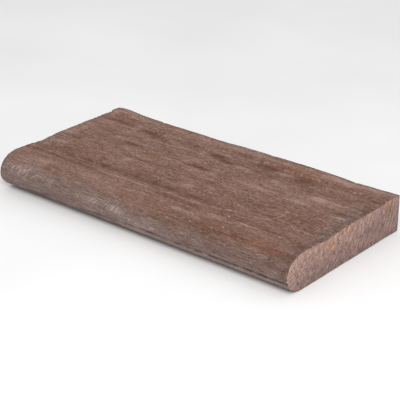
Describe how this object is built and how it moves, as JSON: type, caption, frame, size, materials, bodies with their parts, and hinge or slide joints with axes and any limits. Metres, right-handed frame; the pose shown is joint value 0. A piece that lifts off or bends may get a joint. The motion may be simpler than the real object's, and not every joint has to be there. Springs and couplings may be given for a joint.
{
  "type": "pool coping stone",
  "caption": "Cast concrete coping stone with a full bullnose along one long side and a plank-textured walking face, laid along the edge of a pool.",
  "frame": {"origin": "centre of the bedding face's plan outline, on the bedding plane", "axes": "+X along the pool edge to the right-hand end, +Y from the bullnose to the rear face, +Z from the bedding face up to the walking face"},
  "size_m": [0.61, 0.305, 0.0663],
  "materials": {
    "cast_stone": "matt cast concrete, stained brown on the walking face and greyer on the nose"
  },
  "bodies": {
    "root": {"coping_stone": "cast_stone"}
  },
  "joints": []
}
